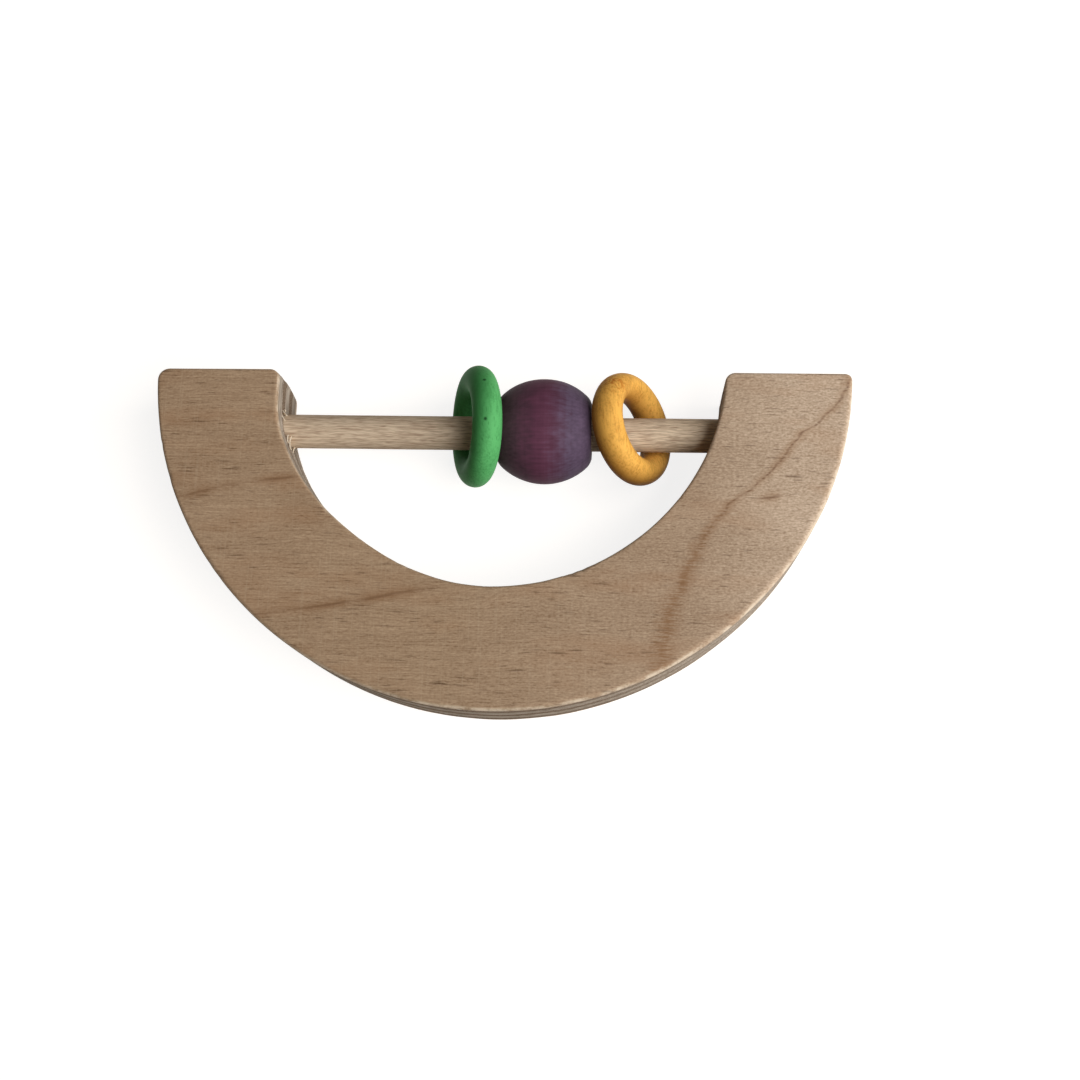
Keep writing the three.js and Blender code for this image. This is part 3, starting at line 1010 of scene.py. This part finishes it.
class RATTLE_OT_dowel(bpy.types.Operator):
    """Build the beech dowel and the fibres torn up where it goes in"""

    bl_idname = "rattle.dowel"
    bl_label = "Dowel"

    def execute(self, context):
        s = context.scene.rattle_dowel
        outer_radius = context.scene.rattle_half_ring.outer_radius
        wood = bare_beech_material("beech_dowel_bare", s.light, s.dark, s.fleck)
        stand_for("dowel_rod", "dowel", dowel_mesh("dowel_rod", outer_radius), wood)
        self.add_torn_fibres(context, s)
        return {"FINISHED"}

    def add_torn_fibres(self, context, s):
        """Fibres that the drill tore up round the hole in the left arm's inner wall."""
        half_ring = context.scene.rattle_half_ring
        hole = DOWEL_RADIUS + s.glue_gap
        points, faces = [], []
        for start, length_mm, lift_mm, width_mm in TORN_FIBRES:
            way = 1 if start < 90 else -1
            first = len(points)
            for k in range(FIBRE_STEPS + 1):
                share = k / FIBRE_STEPS
                angle = math.radians(start) + way * share * length_mm * MM / hole
                half_width = width_mm * MM / 2 * (1 - 0.8 * share)
                for side, up in ((-1, 0), (1, 0), (1, 1), (-1, 1)):
                    away = hole + width_mm * MM / 2 + side * half_width
                    y = DOWEL_AXIS.y + away * math.cos(angle)
                    z = DOWEL_AXIS.z + away * math.sin(angle)
                    rise = lift_mm * MM * share**2 + up * FIBRE_THICKNESS
                    points.append((left_wall_x(half_ring, y) + rise, y, z))
            loops = [range(corner, corner + 4) for corner in range(first, len(points), 4)]
            faces += bridged(loops) + [tuple(loops[0]), tuple(loops[-1])]
        wood = bare_beech_material("beech_fibres_torn", s.torn, s.light, s.light)
        mesh = closed_mesh("torn_fibres", points, faces)
        add_piece("torn_fibres", mesh, wood, BODY_OF["core_ply"])


# How the rings lie: the lean about Y and then the turn about Z
GREEN_RING_LEAN = math.radians(19)
GREEN_RING_TURN = math.radians(4.8)
YELLOW_RING_LEAN = math.radians(-33.5)
YELLOW_RING_TURN = math.radians(7)
TURNED_SIDES = 144
RING_WOBBLE = 0.006
BEAD_WOBBLE = 0.005

# Open pores and a curl of the grain, in millimetres from the middle of each ring
GREEN_RING_PORES = ((-0.7, 6.5, 11.7), (-1.2, -2.8, 12.9))
YELLOW_RING_CURL = (1.5, 8.2, 8.5)

# Painted shade: the side of the ring that is painted darker, and how far the wood faces it when the shade
# starts
GREEN_RING_SHADE = ((-0.8, 0.6, 0), -0.2)
YELLOW_RING_SHADE = ((-0.74, -0.3, -0.6), -0.75)


def place_turned(name, node, mesh, material, lean=0.0, turn=0.0):
    """A turned piece at its node's centre, so that its own X is the axis it was turned on."""
    low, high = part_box(node)
    piece = add_piece(name, mesh, material, BODY_OF[node])
    turned = Euler((0, lean, turn), "XYZ").to_matrix().to_4x4()
    piece.matrix_world = Matrix.Translation((low + high) / 2) @ turned
    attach(piece, BODY_OF[node])
    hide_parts(node)
    return piece


class RATTLE_OT_rings(bpy.types.Operator):
    """Build the green and the yellow ring"""

    bl_idname = "rattle.rings"
    bl_label = "Rings"

    def execute(self, context):
        s = context.scene.rattle_threaded
        pores = [("pore", pore, linear("123318")) for pore in GREEN_RING_PORES]
        green = dyed_ring_material(
            "beech_dyed_green", s.green, s.green_dark, s.green_dark, *GREEN_RING_SHADE, pores
        )
        curl = [("curl", YELLOW_RING_CURL, s.amber_curl)]
        amber = dyed_ring_material(
            "beech_dyed_amber", s.amber, s.amber_dark, s.amber_curl, *YELLOW_RING_SHADE, curl
        )
        rings = (
            ("green_ring", green, s.green_section, s.green_width, GREEN_RING_LEAN, GREEN_RING_TURN),
            ("yellow_ring", amber, s.yellow_section, s.yellow_width, YELLOW_RING_LEAN, YELLOW_RING_TURN),
        )
        for seed, (node, wood, section, width, lean, turn) in enumerate(rings, 1):
            profile = ring_profile(s.ring_bore, section, width)
            mesh = turned_mesh(node + "_turned", profile, TURNED_SIDES, RING_WOBBLE, seed)
            place_turned(node + "_turned", node, mesh, wood, lean, turn)
        return {"FINISHED"}


class RATTLE_OT_bead(bpy.types.Operator):
    """Build the barrel bead"""

    bl_idname = "rattle.bead"
    bl_label = "Bead"

    def execute(self, context):
        s = context.scene.rattle_threaded
        mesh = turned_mesh("purple_bead_turned", bead_profile(s), TURNED_SIDES, BEAD_WOBBLE, 3)
        place_turned("purple_bead_turned", "purple_bead", mesh, plum_bead_material(s))
        return {"FINISHED"}


# Where the photograph was taken from, and what the camera looks at
CAMERA_PLACE = Vector((26.14, -42.52, 279.20)) * MM
CAMERA_TARGET = Vector((9.96, 23.02, 18.0)) * MM
SOFT_BOX_PLACE = Vector((640, -200, 610)) * MM
SENSOR_WIDTH = 36
NEAREST_SEEN = 10 * MM
FLOOR_SIZE = 3.0
FLOOR_GAP = 0.05 * MM


class RATTLE_OT_stage(bpy.types.Operator):
    """Set up the camera, the floor and soft studio light"""

    bl_idname = "rattle.stage"
    bl_label = "Stage"

    def execute(self, context):
        s = context.scene.rattle_stage
        context.scene.view_settings.view_transform = "Standard"
        self.add_camera(context, s)
        self.add_floor(context, s)
        self.add_light(context, s)
        return {"FINISHED"}

    def add_camera(self, context, s):
        data = bpy.data.cameras.new("camera")
        data.lens = s.lens
        data.sensor_width = SENSOR_WIDTH
        data.clip_start = NEAREST_SEEN
        camera = bpy.data.objects.new("camera", data)
        context.scene.collection.objects.link(camera)
        context.scene.camera = camera
        forward = (CAMERA_TARGET - CAMERA_PLACE).normalized()
        level = forward.cross(Vector((0, 1, 0))).normalized()
        upright = level.cross(forward)
        right = math.cos(s.roll) * level + math.sin(s.roll) * upright
        up = right.cross(forward)
        axes = Matrix((right, up, -forward)).transposed()
        camera.matrix_world = Matrix.Translation(CAMERA_PLACE) @ axes.to_4x4()

    def add_floor(self, context, s):
        """The rattle rests on the edge of its arc and on the threaded pieces, so the floor slopes."""
        edge_y = FRONT_BOX[0].y + context.scene.rattle_half_ring.sanded_edge
        threaded = [frame["nodes"][node] for node in ("green_ring", "purple_bead", "yellow_ring")]
        slope = max(-v.co.z / (v.co.y - edge_y) for node in threaded for v in node.data.vertices)
        mesh = bpy.data.meshes.new("floor")
        shape = bmesh.new()
        bmesh.ops.create_grid(shape, x_segments=1, y_segments=1, size=FLOOR_SIZE / 2)
        shape.to_mesh(mesh)
        shape.free()
        floor = bpy.data.objects.new("floor", mesh)
        context.scene.collection.objects.link(floor)
        tilt = Matrix.Rotation(-math.atan(slope), 4, "X")
        floor.matrix_world = Matrix.Translation((0, edge_y, -FLOOR_GAP)) @ tilt

        material, tree, shader = new_material("floor_paper_white")
        shader.inputs["Base Color"].default_value = tuple(s.floor_colour)
        shader.inputs["Roughness"].default_value = 0.9
        shader.inputs["Emission Color"].default_value = WHITE
        lift = add_math(tree, "MULTIPLY", shown_rays(tree), s.floor_lift)
        tree.links.new(lift.outputs[0], shader.inputs["Emission Strength"])
        mesh.materials.append(material)

    def add_light(self, context, s):
        """A soft box to the right of the camera, and a weak, even light from all round."""
        world = bpy.data.worlds.new("studio")
        context.scene.world = world
        world.use_nodes = True
        tree = world.node_tree
        tree.nodes.clear()
        shown = shown_rays(tree)
        strength = add_range(tree, shown, 0.0, 1.0, s.fill, 1.0)
        tint = add_mix(tree, shown, s.fill_colour, WHITE)
        sky = add_node(tree, "ShaderNodeBackground", {"Color": tint, "Strength": strength})
        add_node(tree, "ShaderNodeOutputWorld", {"Surface": sky})

        data = bpy.data.lights.new("soft_box", "AREA")
        data.shape = "SQUARE"
        data.size = s.soft_box_size
        data.energy = s.soft_box_power
        lamp = bpy.data.objects.new("soft_box", data)
        context.scene.collection.objects.link(lamp)
        lamp.location = SOFT_BOX_PLACE
        lamp.rotation_euler = (-SOFT_BOX_PLACE).to_track_quat("-Z", "Y").to_euler()


class RATTLE_PT_panel(bpy.types.Panel):
    """Lists the rattle's settings and what builds each piece"""

    bl_idname = "RATTLE_PT_panel"
    bl_label = "Wooden Bird Rattle"
    bl_space_type = "VIEW_3D"
    bl_region_type = "UI"
    bl_category = "Rattle"

    def draw(self, context):
        for label, settings, operators in SECTIONS:
            box = self.layout.box()
            box.label(text=label)
            group = getattr(context.scene, settings)
            for name in group.bl_rna.properties.keys():
                if name not in ("name", "rna_type"):
                    box.prop(group, name)
            for operator in operators:
                box.operator(operator.bl_idname)


SETTINGS = {
    "rattle_half_ring": HalfRingSettings,
    "rattle_dowel": DowelSettings,
    "rattle_threaded": ThreadedSettings,
    "rattle_stage": StageSettings,
}
SECTIONS = (
    ("Half ring", "rattle_half_ring", (RATTLE_OT_half_ring,)),
    ("Dowel", "rattle_dowel", (RATTLE_OT_dowel,)),
    ("Rings and bead", "rattle_threaded", (RATTLE_OT_rings, RATTLE_OT_bead)),
    ("Stage", "rattle_stage", (RATTLE_OT_stage,)),
)
OPERATORS = [operator for _, _, operators in SECTIONS for operator in operators]


def register():
    for cls in (*SETTINGS.values(), *OPERATORS, RATTLE_PT_panel):
        bpy.utils.register_class(cls)
    for name, cls in SETTINGS.items():
        setattr(bpy.types.Scene, name, PointerProperty(type=cls))


def unregister():
    for name in SETTINGS:
        delattr(bpy.types.Scene, name)
    for cls in (RATTLE_PT_panel, *reversed(OPERATORS), *reversed(SETTINGS.values())):
        bpy.utils.unregister_class(cls)


def main():
    register()
    bpy.ops.rattle.half_ring()
    bpy.ops.rattle.dowel()
    bpy.ops.rattle.rings()
    bpy.ops.rattle.bead()
    bpy.ops.rattle.stage()


if __name__ == "__main__":
    main()
